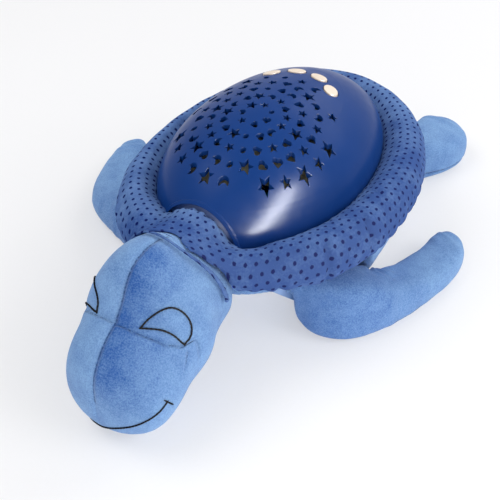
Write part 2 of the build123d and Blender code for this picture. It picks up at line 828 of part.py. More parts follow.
# --- shell_ring and front_hem: padded ring round the shell and its strip over the neck --------
neck_room = head_solid(ring_gap)
neck_cover = head_solid(ring_gap + collar_thickness) & egg_prism(-ring_reach, belly_core_top_z, tall)
hem_limit = egg_prism(-ring_reach - ring_gap - hem_width, belly_core_top_z, tall)
hem_strip = head_solid(ring_gap + hem_thickness) & hem_limit

# The saddle fills the arch between the shell's inset panel and the neck
saddle = arch_prism(-saddle_inset) & egg_prism(-ring_reach / 2, belly_core_top_z, tall)
saddle = saddle - shell_solid(shell_wall + seat_gap / 3 - ring_gap, skirt_bottom_z)

with BuildPart() as shell_ring:
    with BuildLine() as ring_path:
        add(egg_face(-ring_gap).face().outer_wire())
    with BuildSketch(Plane.XZ.offset(-shell_centre_y)):
        with BuildLine():
            ring_foot = shell_half_width + ring_gap
            Line((ring_foot, ring_section_foot_z), (ring_foot, ring_foot_z))
            Spline(
                (ring_foot, ring_foot_z),
                *[(ring_foot + out, z) for out, z in ring_profile],
                (ring_foot, ring_section_foot_z),
            )
        make_face()
    sweep(path=ring_path.line)
    add(neck_cover)
    add(saddle)
    add(egg_prism(-flange_reach - ring_gap, flange_bottom_z - ring_gap, skirt_bottom_z + flange_thickness + ring_gap),
        mode=Mode.SUBTRACT)
    add(neck_room, mode=Mode.SUBTRACT)
shell_ring.part.label = "shell_ring"
export_step(shell_ring.part, "parts/shell_ring.step")

with BuildPart() as front_hem:
    add(hem_strip)
    add(egg_prism(-ring_reach - ring_gap - seat_gap, 0, tall), mode=Mode.SUBTRACT)
    add(neck_room, mode=Mode.SUBTRACT)
front_hem.part.label = "front_hem"
export_step(front_hem.part, "parts/front_hem.step")


# --- flippers ---------------------------------------------------------------------------------------
def grown_outline(outline, grow):
    """Points of an outline that runs anticlockwise, each moved outward by grow."""
    moved = []
    for number, (x, y) in enumerate(outline):
        before = outline[number - 1]
        after = outline[(number + 1) % len(outline)]
        along = Vector(after[0] - before[0], after[1] - before[1]).normalized()
        moved.append((x + grow * along.Y, y - grow * along.X))
    return moved


def flipper(outline, profile, hinge, aim, grow=0.0):
    """Flipper lying on its side of the turtle, grown by grow; without growth its edges are rounded."""
    with BuildPart() as under_top:
        with BuildSketch(Plane.XZ):
            with BuildLine():
                top = Spline(*[(reach, z + grow) for reach, z in profile])
                Polyline(top @ 1, ((top @ 1).X, -grow), ((top @ 0).X, -grow), top @ 0)
            make_face()
        extrude(amount=tall / 2, both=True)
    with BuildPart() as slab:
        with BuildSketch(Plane.XY.offset(flipper_floor_gap - grow)):
            with BuildLine():
                Spline(*grown_outline(outline, grow), periodic=True)
            make_face()
        extrude(amount=tall)
        add(Pos(*hinge) * Rot(0, 0, aim) * under_top.part, mode=Mode.INTERSECT)
        if not grow:
            fillet(slab.edges(), radius=flipper_edge_radius)
    return slab.part


def turned(shape, angle, pivot):
    """The shape turned about an upright axis at pivot."""
    return Pos(*pivot) * Rot(0, 0, angle) * Pos(-pivot[0], -pivot[1]) * shape


right_root = (-front_root[0], front_root[1])
front_shape = flipper(front_flipper_outline, front_flipper_profile, front_root, front_flipper_aim)
rear_shape = flipper(rear_flipper_outline, rear_flipper_profile, rear_root, rear_flipper_aim)
flippers = {
    "flipper_front_left": front_shape,
    "flipper_front_right": turned(mirror(front_shape, about=Plane.YZ), right_splay, right_root),
    "flipper_rear_left": rear_shape,
    "flipper_rear_right": mirror(rear_shape, about=Plane.YZ),
}
for name, shape in flippers.items():
    shape.label = name
    export_step(shape, f"parts/{name}.step")

# --- belly_pad: padding under the ring, open for the tub and the flippers' roots -----------------
front_room = flipper(front_flipper_outline, front_flipper_profile, front_root, front_flipper_aim, flipper_gap)
rear_room = flipper(rear_flipper_outline, rear_flipper_profile, rear_root, rear_flipper_aim, flipper_gap)
front_pocket_top = front_flipper_profile[0][1] + flipper_gap
rear_pocket_top = rear_flipper_profile[0][1] + flipper_gap
rooms = (
    front_room,
    rear_room,
    turned(rear_room, rear_swing_in, rear_root),
    disc(front_root_radius + flipper_gap, -flipper_gap, front_pocket_top, *front_root),
    disc(rear_root_radius + flipper_gap, -flipper_gap, rear_pocket_top, *rear_root),
)

belly_bowl = egg_cap(-belly_reach, belly_depth, ends=(belly_front, shell_rear))
belly_band = egg_prism(-belly_band_reach, belly_core_bottom_z, belly_top_z)

with BuildPart() as belly_pad:
    add(Pos(0, shell_centre_y, belly_top_z) * upside_down * belly_bowl)
    split(bisect_by=Plane.XY)
    add(belly_band)
    add(egg_prism(0, belly_core_bottom_z, belly_core_top_z))
    add(egg_prism(base_inset - ring_gap, -tall, tall), mode=Mode.SUBTRACT)
    for room in rooms:
        add(room, mode=Mode.SUBTRACT)
        add(mirror(room, about=Plane.YZ), mode=Mode.SUBTRACT)
    split(bisect_by=Plane.XZ.offset(head_sections[0][0] - seat_gap), keep=Keep.BOTTOM)
belly_pad.part.label = "belly_pad"
export_step(belly_pad.part, "parts/belly_pad.step")
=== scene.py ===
from math import cos, pi, radians, sin

import bpy
import numpy as np
from bpy.props import FloatProperty, FloatVectorProperty, IntProperty, PointerProperty
from mathutils import Matrix, Vector
from mathutils.bvhtree import BVHTree


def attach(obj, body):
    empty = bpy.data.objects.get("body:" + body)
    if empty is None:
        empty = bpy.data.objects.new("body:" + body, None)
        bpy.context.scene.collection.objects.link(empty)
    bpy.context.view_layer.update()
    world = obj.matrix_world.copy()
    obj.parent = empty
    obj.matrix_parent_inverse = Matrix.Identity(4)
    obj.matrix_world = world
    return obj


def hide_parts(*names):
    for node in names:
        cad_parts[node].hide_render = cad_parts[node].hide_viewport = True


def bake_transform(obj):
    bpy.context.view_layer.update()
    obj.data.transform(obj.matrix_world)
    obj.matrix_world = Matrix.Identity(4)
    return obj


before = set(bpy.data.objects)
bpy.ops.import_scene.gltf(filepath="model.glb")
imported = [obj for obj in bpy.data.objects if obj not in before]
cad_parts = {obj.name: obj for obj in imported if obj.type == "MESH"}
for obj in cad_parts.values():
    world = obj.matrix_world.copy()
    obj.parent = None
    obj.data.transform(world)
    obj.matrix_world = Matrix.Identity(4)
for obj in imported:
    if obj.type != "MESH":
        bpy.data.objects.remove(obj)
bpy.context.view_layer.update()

bl_info = {
    "name": "Plush turtle night light",
    "version": (1, 0, 0),
    "blender": (4, 5, 0),
    "location": "View3D > Sidebar > Turtle",
    "description": "Dresses the turtle night light in plush, dotted cloth and moulded plastic",
    "category": "Object",
}

MM = 0.001

# Camera: its place, what it looks at, both in metres, and its lens in millimetres
CAMERA_PLACE = (0.21215, -0.37337, 0.36244)
CAMERA_TARGET = (0.01137, -0.04523, 0.042)
CAMERA_LENS = 69.63
CAMERA_SENSOR = 36

# Light from all round, and how much of the backdrop's white the table takes on where it is seen
AIR_LIGHT = 0.45
TABLE_GLOW = 0.45
TABLE_WIDTH = 14

# How much of a mirror's shine cloth and thread have
CLOTH_GLOSS = 0.05

# The shell's outline and the padded ring round it, in millimetres
SHELL_HALF_WIDTH = 52.6
SHELL_FRONT = 72.5
SHELL_REAR = 85.0
SHELL_CENTRE_Y = -6.3
RING_MIDDLE_OUT = 10.8
RING_MIDDLE_Z = 60.0

# How far the padding swells the ring at each angle round it: degrees, millimetres
RING_SWELL = (
    (-180, -4.6), (-166, -4.0), (-150, -1.5), (-120, 0.0), (-75, 0.0), (-63, -2.2), (-50, -0.5), (-40, 2.0),
    (-25, 3.2), (-5, 2.6), (20, 2.7), (40, 2.0), (70, 0.0), (110, 0.0), (150, -4.5), (180, -4.6),
)


def linear(hex_colour):
    """An sRGB hex colour as linear RGBA."""
    out = []
    for start in (1, 3, 5):
        value = int(hex_colour[start:start + 2], 16) / 255
        out.append(value / 12.92 if value <= 0.04045 else ((value + 0.055) / 1.055) ** 2.4)
    return (*out, 1.0)


def colour_setting(name, hex_colour, text):
    """A colour that a user can change."""
    return FloatVectorProperty(
        name=name, description=text, subtype="COLOR", size=4, min=0, max=1, default=linear(hex_colour)
    )


def length_setting(name, millimetres, text):
    """A length that a user can change, kept in metres."""
    return FloatProperty(
        name=name, description=text, default=millimetres * MM, min=0, unit="LENGTH", subtype="DISTANCE", precision=5
    )


class TurtleSizes(bpy.types.PropertyGroup):
    """Sizes of the cloth, the thread and the stuffing."""

    dot_pitch: length_setting("Dot pitch", 4.7, "Distance from one printed dot to the next")
    dot_width: length_setting("Dot width", 1.66, "Width of a printed dot")
    thread: length_setting("Thread", 0.95, "Width of the embroidery thread on the face")
    stitch: length_setting("Stitch", 1.9, "Length of one embroidery stitch")
    seam_depth: length_setting("Seam depth", 1.0, "How far a seam pulls the plush in")
    gather: length_setting("Gather", 0.9, "Depth of the puckers along the ring's seams")
    stuffing_steps: IntProperty(
        name="Stuffing steps", description="Frames that the stuffing pushes the cloth out for",
        default=16, min=2, max=30,
    )


class TurtleColours(bpy.types.PropertyGroup):
    """Colours of the finishes."""

    shell: colour_setting("Shell", "#0c3676", "Moulded shell")
    inset: colour_setting("Inset", "#2c4f92", "Panel behind the arched notch")
    button: colour_setting("Buttons", "#dccbb8", "Push buttons")
    deck: colour_setting("Deck", "#c9c2a0", "Floor under the shell")
    base: colour_setting("Base", "#6f97cb", "Base tub and its door")
    plush: colour_setting("Plush", "#84aad6", "Plush with its pile brushed up")
    # The deep plush colour serves the random mottling, the painted shade and the dark seam lines.
    plush_deep: colour_setting("Plush, deep", "#2857a0", "Plush with its pile brushed down")
    ring: colour_setting("Ring", "#6180b3", "Cloth of the padded ring")
    # The deep ring colour serves the random mottling and the painted shade on the ring's front.
    ring_deep: colour_setting("Ring, deep", "#36538f", "Cloth of the padded ring where its nap lies down")
    dot: colour_setting("Dots", "#0a1a58", "Dots printed on the cloth")
    thread: colour_setting("Thread", "#07080d", "Embroidery thread")
    floor: colour_setting("Floor", "#e9e9ec", "Table that the turtle lies on")


# ---------------------------------------------------------------------------
# Shader helpers
# ---------------------------------------------------------------------------


def add_node(tree, kind, settings=None, **inputs):
    """Adds a shader node; settings are its own, inputs are socket values or the sockets to link from."""
    node = tree.nodes.new(kind)
    for key, value in (settings or {}).items():
        setattr(node, key, value)
    for key, value in inputs.items():
        numbered = key[0] == "i" and key[1:].isdigit()
        socket = node.inputs[int(key[1:]) if numbered else key.replace("_", " ")]
        if isinstance(value, bpy.types.NodeSocket):
            tree.links.new(value, socket)
        else:
            socket.default_value = value
    return node


def new_material(name, **constants):
    """A material whose shader has these constant values; returns it with its tree and shader."""
    made = bpy.data.materials.new(name)
    made.use_nodes = True
    tree = made.node_tree
    shader = next(n for n in tree.nodes if n.type == "BSDF_PRINCIPLED")
    for key, value in constants.items():
        shader.inputs[key.replace("_", " ")].default_value = value
    return made, tree, shader


def object_place(tree):
    """Object coordinates, in metres."""
    return add_node(tree, "ShaderNodeTexCoord").outputs["Object"]


def bump_from(tree, shader, height, depth_mm, strength=1.0):
    """Feeds a height of 0 to 1 into the shader's normal as relief of this depth."""
    bump = add_node(tree, "ShaderNodeBump", Strength=strength, Distance=depth_mm * MM, Height=height)
    tree.links.new(bump.outputs["Normal"], shader.inputs["Normal"])


def blend_colours(tree, factor, low, high):
    """Mixes two colours by factor."""
    mix = add_node(tree, "ShaderNodeMix", {"data_type": "RGBA"}, i0=factor, i6=low, i7=high)
    return mix.outputs[2]


def attribute(tree, name):
    """The node that reads a number or vector kept for each vertex."""
    return add_node(tree, "ShaderNodeAttribute", {"attribute_name": name})


def seen_directly(tree):
    """1 where the camera sees the surface itself or in a reflection, 0 where it only lights something."""
    seen = add_node(tree, "ShaderNodeLightPath")
    clear = calc(tree, "MAXIMUM", seen.outputs["Is Glossy Ray"], seen.outputs["Is Transmission Ray"])
    return calc(tree, "MAXIMUM", seen.outputs["Is Camera Ray"], clear)


def opaque(colour, gain=1.0, lift=0.0):
    """The colour with its channels times gain plus lift, up to 1, and alpha 1."""
    return (*(min(1.0, c * gain + lift) for c in colour[:3]), 1.0)


def noise(tree, place, grain_mm, detail=2.0, roughness=0.5):
    """Noise whose grains are about this wide."""
    scale = 1 / (grain_mm * MM)
    made = add_node(tree, "ShaderNodeTexNoise", Vector=place, Scale=scale, Detail=detail, Roughness=roughness)
    return made.outputs["Fac"]


def remap(tree, value, low, high, to_low=0.0, to_high=1.0):
    """Stretches value from low..high to to_low..to_high, clamped."""
    made = add_node(tree, "ShaderNodeMapRange", i0=value, i1=low, i2=high, i3=to_low, i4=to_high)
    return made.outputs[0]


def calc(tree, operation, first, second=0.0):
    """One step of arithmetic."""
    return add_node(tree, "ShaderNodeMath", {"operation": operation}, i0=first, i1=second).outputs[0]


# ---------------------------------------------------------------------------
# Materials
# ---------------------------------------------------------------------------


def moulded_abs(name, colour, roughness, grain_mm, relief_mm, gloss_level=0.5, edge_mm=0.0):
    """ABS from a polished or finely sparked mould: an even colour, a soft gloss and a faint grain.

    Its cut edges, rounded by edge_mm, catch a thin line of light.
    """
    made, tree, shader = new_material(name, Roughness=roughness, IOR=1.54)
    shader.inputs["Specular IOR Level"].default_value = gloss_level
    place = object_place(tree)
    shade = remap(tree, noise(tree, place, 30), 0.3, 0.7)
    paler = opaque(colour, 1.08, 0.004)
    tree.links.new(blend_colours(tree, shade, tuple(colour), paler), shader.inputs["Base Color"])
    gloss = remap(tree, noise(tree, place, 6, 3), 0.35, 0.65, roughness * 0.92, roughness * 1.1)
    tree.links.new(gloss, shader.inputs["Roughness"])
    bump_from(tree, shader, noise(tree, place, grain_mm), relief_mm)
    if edge_mm:
        rounded = add_node(tree, "ShaderNodeBevel", {"samples": 6}, Radius=edge_mm * MM)
        bump = next(n for n in tree.nodes if n.type == "BUMP")
        tree.links.new(rounded.outputs[0], bump.inputs["Normal"])
    return made


def short_pile_plush(name, colours):
    """Polyester plush with a short dense pile: matte, mottled pale and deep at random, and darkened by painted shade
    kept for each vertex.
    """
    made, tree, shader = new_material(name, Roughness=0.95, Sheen_Weight=0.35, Sheen_Roughness=0.4, IOR=1.4)
    shader.inputs["Sheen Tint"].default_value = linear("#c6d3e8")
    shader.inputs["Specular IOR Level"].default_value = CLOTH_GLOSS
    place = object_place(tree)
    # Painted shade kept for each vertex: it darkens the plush under the ring, along its seams and on panels turned
    # from the light.
    painted_shade = attribute(tree, "painted_shade").outputs["Fac"]
    brushed = remap(tree, noise(tree, place, 11, 4, 0.62), 0.42, 0.68, 0.0, 0.34)
    tufts = remap(tree, noise(tree, place, 0.75, 3, 0.75), 0.38, 0.64, 0.0, 0.62)
    # Random mottling plus painted shade: the share of the deep colour.
    tone_and_painted_shade = calc(tree, "ADD", calc(tree, "ADD", brushed, tufts), calc(tree, "MULTIPLY", painted_shade, 0.8))
    shade = blend_colours(tree, remap(tree, tone_and_painted_shade, 0.0, 1.55), tuple(colours.plush), tuple(colours.plush_deep))
    seam = attribute(tree, "seam").outputs["Fac"]
    gaps = remap(tree, noise(tree, place, 1.2, 2), 0.36, 0.56, 0.15, 0.8)
    line = calc(tree, "MULTIPLY", remap(tree, seam, 0.15 * MM, 0.6 * MM, 1.0, 0.0), gaps)
    sewn = blend_colours(tree, line, shade, opaque(colours.plush_deep, 0.35))
    tree.links.new(sewn, shader.inputs["Base Color"])
    fibres = add_node(
        tree, "ShaderNodeTexNoise", Vector=place, Scale=1 / (0.75 * MM), Detail=3.0, Roughness=0.7, Distortion=0.6
    ).outputs["Fac"]
    height = calc(tree, "ADD", fibres, calc(tree, "MULTIPLY", noise(tree, place, 3.2, 2), 0.8))
    sunk = calc(tree, "MULTIPLY", remap(tree, seam, 0.0, 1.3 * MM), 2.4)
    bump_from(tree, shader, calc(tree, "ADD", height, sunk), 0.42, 0.85)
    return made


def dotted_velour(name, colours, sizes):
    """Knitted velour printed with small staggered dots: matte, with a faint sheen, the print sunk a little, mottled
    at random and darkened by painted shade kept for each vertex.
    """
    made, tree, shader = new_material(name, Roughness=0.9, Sheen_Weight=0.03, Sheen_Roughness=0.4, IOR=1.4)
    shader.inputs["Sheen Tint"].default_value = linear("#b4c2de")
    shader.inputs["Specular IOR Level"].default_value = CLOTH_GLOSS
    cloth = attribute(tree, "cloth").outputs["Vector"]
    across = add_node(tree, "ShaderNodeSeparateXYZ", Vector=cloth)
    pitch = sizes.dot_pitch
    row_pitch = pitch * sin(radians(60))
    row_place = calc(tree, "DIVIDE", across.outputs["Y"], row_pitch)
    row = calc(tree, "FLOOR", row_place)
    stagger = calc(tree, "MULTIPLY", calc(tree, "FLOORED_MODULO", row, 2.0), 0.5)
    column_place = calc(tree, "ADD", calc(tree, "DIVIDE", across.outputs["X"], pitch), stagger)
    off_x = calc(tree, "MULTIPLY", calc(tree, "SUBTRACT", calc(tree, "FRACT", column_place), 0.5), pitch)
    off_y = calc(tree, "MULTIPLY", calc(tree, "SUBTRACT", calc(tree, "FRACT", row_place), 0.5), row_pitch)
    off = add_node(tree, "ShaderNodeCombineXYZ", X=off_x, Y=off_y)
    reach = add_node(tree, "ShaderNodeVectorMath", {"operation": "LENGTH"}, i0=off.outputs[0]).outputs["Value"]
    place = object_place(tree)
    fray = remap(tree, noise(tree, place, 0.7, 2), 0.2, 0.8, -0.16 * MM, 0.16 * MM)
    radius = sizes.dot_width / 2
    dot = remap(tree, calc(tree, "ADD", reach, fray), radius + 0.14 * MM, radius - 0.14 * MM)
    fine_tone = calc(tree, "MULTIPLY", noise(tree, place, 1.3, 3), 0.5)
    tone = remap(tree, calc(tree, "ADD", noise(tree, place, 12, 3), fine_tone), 0.5, 1.05)
    # Painted shade kept for each vertex: it darkens the ring's outer side at the front and the hem under it.
    painted_shade = attribute(tree, "painted_shade").outputs["Fac"]
    tone_less_painted_shade = calc(tree, "SUBTRACT", calc(tree, "ADD", calc(tree, "MULTIPLY", tone, 0.95), 0.28), painted_shade)
    ground = blend_colours(tree, remap(tree, tone_less_painted_shade, 0.0, 1.0), tuple(colours.ring_deep), tuple(colours.ring))
    tree.links.new(blend_colours(tree, dot, ground, tuple(colours.dot)), shader.inputs["Base Color"])
    height = calc(tree, "ADD", noise(tree, place, 0.6, 3, 0.65), calc(tree, "MULTIPLY", dot, -0.5))
    bump_from(tree, shader, height, 0.22, 0.7)
    return made


def rayon_thread(name, colour):
    """Black rayon embroidery thread: a satin twist with fine strands."""
    made, tree, shader = new_material(name, Roughness=0.6, IOR=1.45)
    shader.inputs["Specular IOR Level"].default_value = CLOTH_GLOSS
    place = object_place(tree)
    strands = add_node(
        tree, "ShaderNodeTexWave", {"bands_direction": "DIAGONAL"}, Vector=place, Scale=1 / (1.1 * MM), Distortion=0.4
    ).outputs["Fac"]
    paler = opaque(colour, 2.2, 0.004)
    tree.links.new(blend_colours(tree, strands, tuple(colour), paler), shader.inputs["Base Color"])
    bump_from(tree, shader, strands, 0.12)
    return made


def plated_metal(name, hex_colour, roughness, scratch_mm):
    """Drawn or turned metal with a thin plating: bright, with fine scratches."""
    made, tree, shader = new_material(name, Metallic=1.0, Roughness=roughness)
    place = object_place(tree)
    marks = noise(tree, place, scratch_mm, 4, 0.7)
    base = linear(hex_colour)
    darker = opaque(base, 0.72)
    tree.links.new(blend_colours(tree, remap(tree, marks, 0.3, 0.7), darker, base), shader.inputs["Base Color"])
    tree.links.new(remap(tree, marks, 0.3, 0.7, roughness * 1.3, roughness * 0.8), shader.inputs["Roughness"])
    bump_from(tree, shader, marks, 0.02)
    return made


def solder_mask(name):
    """Glass-epoxy board under green solder mask: glossy, with the copper tracks showing darker."""
    made, tree, shader = new_material(name, Roughness=0.32, Coat_Weight=0.3, IOR=1.5)
    place = object_place(tree)
    cells = add_node(
        tree, "ShaderNodeTexVoronoi", {"feature": "DISTANCE_TO_EDGE"}, Vector=place, Scale=1 / (5 * MM)
    ).outputs["Distance"]
    track = remap(tree, cells, 0.05, 0.09)
    tree.links.new(blend_colours(tree, track, linear("#2f7a45"), linear("#15502a")), shader.inputs["Base Color"])
    bump_from(tree, shader, calc(tree, "SUBTRACT", 1.0, track), 0.04)
    return made


def black_epoxy(name):
    """Moulded black epoxy: matte, with a fine blasted grain."""
    made, tree, shader = new_material(name, Roughness=0.6, IOR=1.5)
    place = object_place(tree)
    grain = noise(tree, place, 0.25, 3)
    tree.links.new(blend_colours(tree, grain, linear("#0b0b0d"), linear("#232327")), shader.inputs["Base Color"])
    bump_from(tree, shader, grain, 0.03)
    return made


def shrink_sleeve(name, hex_colour):
    """Heat-shrunk vinyl over the cell's can: glossy, with slight waves."""
    made, tree, shader = new_material(name, Roughness=0.3, Coat_Weight=0.5, IOR=1.5)
    place = object_place(tree)
    waves = noise(tree, place, 4, 2)
    base = linear(hex_colour)
    paler = opaque(base, 1.3)
    tree.links.new(blend_colours(tree, waves, base, paler), shader.inputs["Base Color"])
    bump_from(tree, shader, waves, 0.1)
    return made


def clear_epoxy(name):
    """Cast clear epoxy lens: transparent, faintly milky."""
    made, tree, shader = new_material(name, Roughness=0.12, IOR=1.5, Transmission_Weight=0.85)
    place = object_place(tree)
    milk = noise(tree, place, 1.2, 2)
    tree.links.new(blend_colours(tree, milk, linear("#eef4ff"), linear("#ffffff")), shader.inputs["Base Color"])
    bump_from(tree, shader, milk, 0.01)
    return made


def wire_jacket(name):
    """Soft vinyl insulation: satin, with faint ripples along the wire."""
    made, tree, shader = new_material(name, Roughness=0.5, IOR=1.5)
    place = object_place(tree)
    ripple = noise(tree, place, 1.0, 2)
    tree.links.new(blend_colours(tree, ripple, linear("#8e1f22"), linear("#b0302f")), shader.inputs["Base Color"])
    bump_from(tree, shader, ripple, 0.05)
    return made


def table_paint(name, colour):
    """Matte white table: it takes the soft shadow and fades into the backdrop."""
    made, tree, shader = new_material(name, Roughness=0.85, IOR=1.45)
    place = object_place(tree)
    speck = remap(tree, noise(tree, place, 2.0, 3), 0.3, 0.7)
    dimmer = opaque(colour, 0.985)
    tree.links.new(blend_colours(tree, speck, dimmer, tuple(colour)), shader.inputs["Base Color"])
    bump_from(tree, shader, speck, 0.02)
    glow = add_node(tree, "ShaderNodeEmission", Color=(1, 1, 1, 1), Strength=1.0)
    share = calc(tree, "MULTIPLY", seen_directly(tree), TABLE_GLOW)
    mix = add_node(tree, "ShaderNodeMixShader", i0=share, i1=shader.outputs[0], i2=glow.outputs[0])
    output = next(n for n in tree.nodes if n.type == "OUTPUT_MATERIAL")
    tree.links.new(mix.outputs[0], output.inputs["Surface"])
    return made


def dress(node_names, material):
    """Gives CAD nodes this material."""
    for name in node_names:
        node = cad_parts[name]
        if not node.material_slots:
            node.data.materials.append(material)
        for place in node.material_slots:
            place.material = material


# ---------------------------------------------------------------------------
# Soft pieces
# ---------------------------------------------------------------------------


def only(piece):
    """Selects this piece alone and makes it active."""
    bpy.ops.object.select_all(action="DESELECT")
    piece.select_set(True)
    bpy.context.view_layer.objects.active = piece


def apply_modifier(piece, name, kind, **settings):
    """Adds a modifier with these settings and applies it."""
    only(piece)
    modifier = piece.modifiers.new(name, kind)
    for key, value in settings.items():
        setattr(modifier, key, value)
    bpy.ops.object.modifier_apply(modifier=modifier.name)


def cloth_copy(node, name, voxel_mm):
    """A copy of a CAD node's shape, merged and divided into even quads, to be stuffed and sewn."""
    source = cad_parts[node]
    piece = bpy.data.objects.new(name, source.data.copy())
    bpy.context.scene.collection.objects.link(piece)
    piece.data.materials.clear()
    only(piece)
    bpy.ops.object.mode_set(mode="EDIT")
    bpy.ops.mesh.select_all(action="SELECT")
    bpy.ops.mesh.remove_doubles(threshold=0.01 * MM)
    bpy.ops.object.mode_set(mode="OBJECT")
    for layer in list(piece.data.uv_layers):
        piece.data.uv_layers.remove(layer)
    apply_modifier(piece, "even quads", "REMESH", mode="VOXEL", voxel_size=voxel_mm * MM, use_smooth_shade=True)
    return piece


def points_of(piece):
    """The piece's vertices in millimetres."""
    flat = np.empty(3 * len(piece.data.vertices))
    piece.data.vertices.foreach_get("co", flat)
    return flat.reshape(-1, 3) / MM


def normals_of(piece):
    """The piece's vertex normals."""
    flat = np.empty(3 * len(piece.data.vertices))
    piece.data.vertices.foreach_get("normal", flat)
    return flat.reshape(-1, 3)


def set_points(piece, points):
    """Moves the piece's vertices to these points, in millimetres."""
    piece.data.vertices.foreach_set("co", (points * MM).ravel())
    piece.data.update()


def push(piece, amounts):
    """Moves each vertex along its normal by this many millimetres."""
    set_points(piece, points_of(piece) + normals_of(piece) * amounts[:, None])


def soften(piece, turns, factor=0.5):
    """Rounds the piece's edges."""
    apply_modifier(piece, "soften", "SMOOTH", factor=factor, iterations=turns)


def subdivide(piece, levels):
    """Divides the piece's faces smoothly."""
    apply_modifier(piece, "finer", "SUBSURF", levels=levels, render_levels=levels)


def stuff(piece, pressure, limits):
    """Lets stuffing press the cloth out, each vertex by no more than its limit in millimetres."""
    steps = bpy.context.scene.turtle_sizes.stuffing_steps
    only(piece)
    start = points_of(piece)
    cloth = piece.modifiers.new("stuffing", "CLOTH")
    cloth.settings.quality = 4
    cloth.settings.mass = 0.3
    cloth.settings.tension_stiffness = 20
    cloth.settings.compression_stiffness = 20
    cloth.settings.shear_stiffness = 8
    cloth.settings.bending_stiffness = 0.4
    cloth.settings.use_pressure = True
    cloth.settings.uniform_pressure_force = pressure
    cloth.settings.effector_weights.gravity = 0
    cloth.point_cache.frame_start = 1
    cloth.point_cache.frame_end = steps
    for step in range(1, steps + 1):
        bpy.context.scene.frame_set(step)
    settled = piece.evaluated_get(bpy.context.evaluated_depsgraph_get())
    flat = np.empty(3 * len(piece.data.vertices))
    settled.data.vertices.foreach_get("co", flat)
    end = flat.reshape(-1, 3) / MM
    piece.modifiers.remove(cloth)
    bpy.context.scene.frame_set(1)
    move = end - start
    length = np.maximum(np.linalg.norm(move, axis=1), 1e-6)
    move *= np.minimum(1.0, limits / length)[:, None]
    set_points(piece, start + move)


def finish_soft(piece, node, body, material):
    """Gives a soft piece its finish and sets it in its CAD node's stead; without a body, it is attached to none."""
    piece.data.materials.clear()
    piece.data.materials.append(material)
    piece.data.shade_smooth()
    if body:
        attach(piece, body)
    if node:
        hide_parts(node)


def store(piece, name, values):
    """Keeps one number, or one vector, for each vertex."""
    kind = "FLOAT" if values.ndim == 1 else "FLOAT_VECTOR"
    layer = piece.data.attributes.new(name, kind, "POINT")
    layer.data.foreach_set("value" if values.ndim == 1 else "vector", values.ravel())


def bell(distance, width):
    """1 on a line, fading away to each side."""
    return np.exp(-(distance / width) ** 2)


def ramp(value, low, high):
    """0 below low, 1 above high and smooth between them."""
    share = np.clip((value - low) / (high - low), 0, 1)
    return share * share * (3 - 2 * share)


def line_distance(points, line):
    """Distance from each point to a chain of straight runs."""
    best = np.full(len(points), 1e9)
    for start, end in zip(line, line[1:]):
        start = np.array(start, float)
        run = np.array(end, float) - start
        share = np.clip((points - start) @ run / (run @ run), 0, 1)
        best = np.minimum(best, np.linalg.norm(points - start - share[:, None] * run, axis=1))
    return best


def smooth_line(corners, step_mm):
    """Evenly spaced points on a smooth curve through the corners."""
    corners = np.array(corners, float)
    fine = []
    for number in range(len(corners) - 1):
        before = corners[max(number - 1, 0)]
        after = corners[min(number + 2, len(corners) - 1)]
        near, far = corners[number], corners[number + 1]
        for share in np.linspace(0, 1, 24, endpoint=False):
            fine.append(0.5 * (
                2 * near + (far - before) * share
                + (2 * before - 5 * near + 4 * far - after) * share ** 2
                + (3 * near - before - 3 * far + after) * share ** 3
            ))
    fine.append(corners[-1])
    fine = np.array(fine)
    reach = np.concatenate([[0], np.cumsum(np.linalg.norm(np.diff(fine, axis=0), axis=1))])
    count = max(2, int(round(reach[-1] / step_mm)) + 1)
    even = np.linspace(0, reach[-1], count)
    return np.stack([np.interp(even, reach, fine[:, axis]) for axis in range(3)], axis=1)


def nudge(points, *moves):
    """Moves the points near each centre smoothly; a move is a centre, its reach and a way, in millimetres."""
    for centre, reach, way in moves:
        away = np.linalg.norm((points - centre) / reach, axis=1)
        points = points + np.exp(-away ** 2)[:, None] * np.array(way)
    return points


def sew(name, lines, width_mm, stitch_mm, cloth, sink=0.3):
    """Stitches laid end to end along lines on a piece of cloth; each is a thin capsule."""
    depsgraph = bpy.context.evaluated_depsgraph_get()
    surface = BVHTree.FromObject(cloth, depsgraph)
    bpy.ops.object.select_all(action="DESELECT")
    made = []
    for line in lines:
        spots = smooth_line(line, stitch_mm)
        for start, end in zip(spots, spots[1:]):
            middle, normal = surface.find_nearest(Vector((start + end) / 2 * MM))[:2]
            along = Vector(end - start).normalized()
            along = (along - normal * along.dot(normal)).normalized()
            side = normal.cross(along)
            turn = Matrix((side, along, normal)).transposed().to_4x4()
            size = Vector((width_mm / 2, stitch_mm * 0.95, width_mm / 2)) * MM
            bpy.ops.mesh.primitive_uv_sphere_add(segments=8, ring_count=6, radius=1)
            stitch = bpy.context.active_object
            stitch.matrix_world = (
                Matrix.Translation(middle + normal * width_mm * sink * MM) @ turn @ Matrix.Diagonal((*size, 1))
            )
            made.append(stitch)
    bpy.ops.object.select_all(action="DESELECT")
    for stitch in made:
        stitch.select_set(True)
    bpy.context.view_layer.objects.active = made[0]
    bpy.ops.object.join()
    thread = bpy.context.active_object
    thread.name = name
    bpy.ops.object.transform_apply(location=True, rotation=True, scale=True)
    thread.data.shade_smooth()
    return thread


# ---------------------------------------------------------------------------
# Places on the ring
# ---------------------------------------------------------------------------


def egg_place(points):
    """How far each point lies outside the shell's outline, and its angle round it."""
    x = points[:, 0]
    y = points[:, 1] - SHELL_CENTRE_Y
    length = np.where(y > 0, SHELL_REAR, SHELL_FRONT)
    out = np.full(len(points), 10.0)
    for _ in range(12):
        half, far = SHELL_HALF_WIDTH + out, length + out
        error = (x / half) ** 2 + (y / far) ** 2 - 1
        slope = -2 * (x ** 2 / half ** 3 + y ** 2 / far ** 3)
        out = np.clip(out - error / slope, -30, 60)
    return out, np.arctan2(y / (length + out), x / (SHELL_HALF_WIDTH + out))


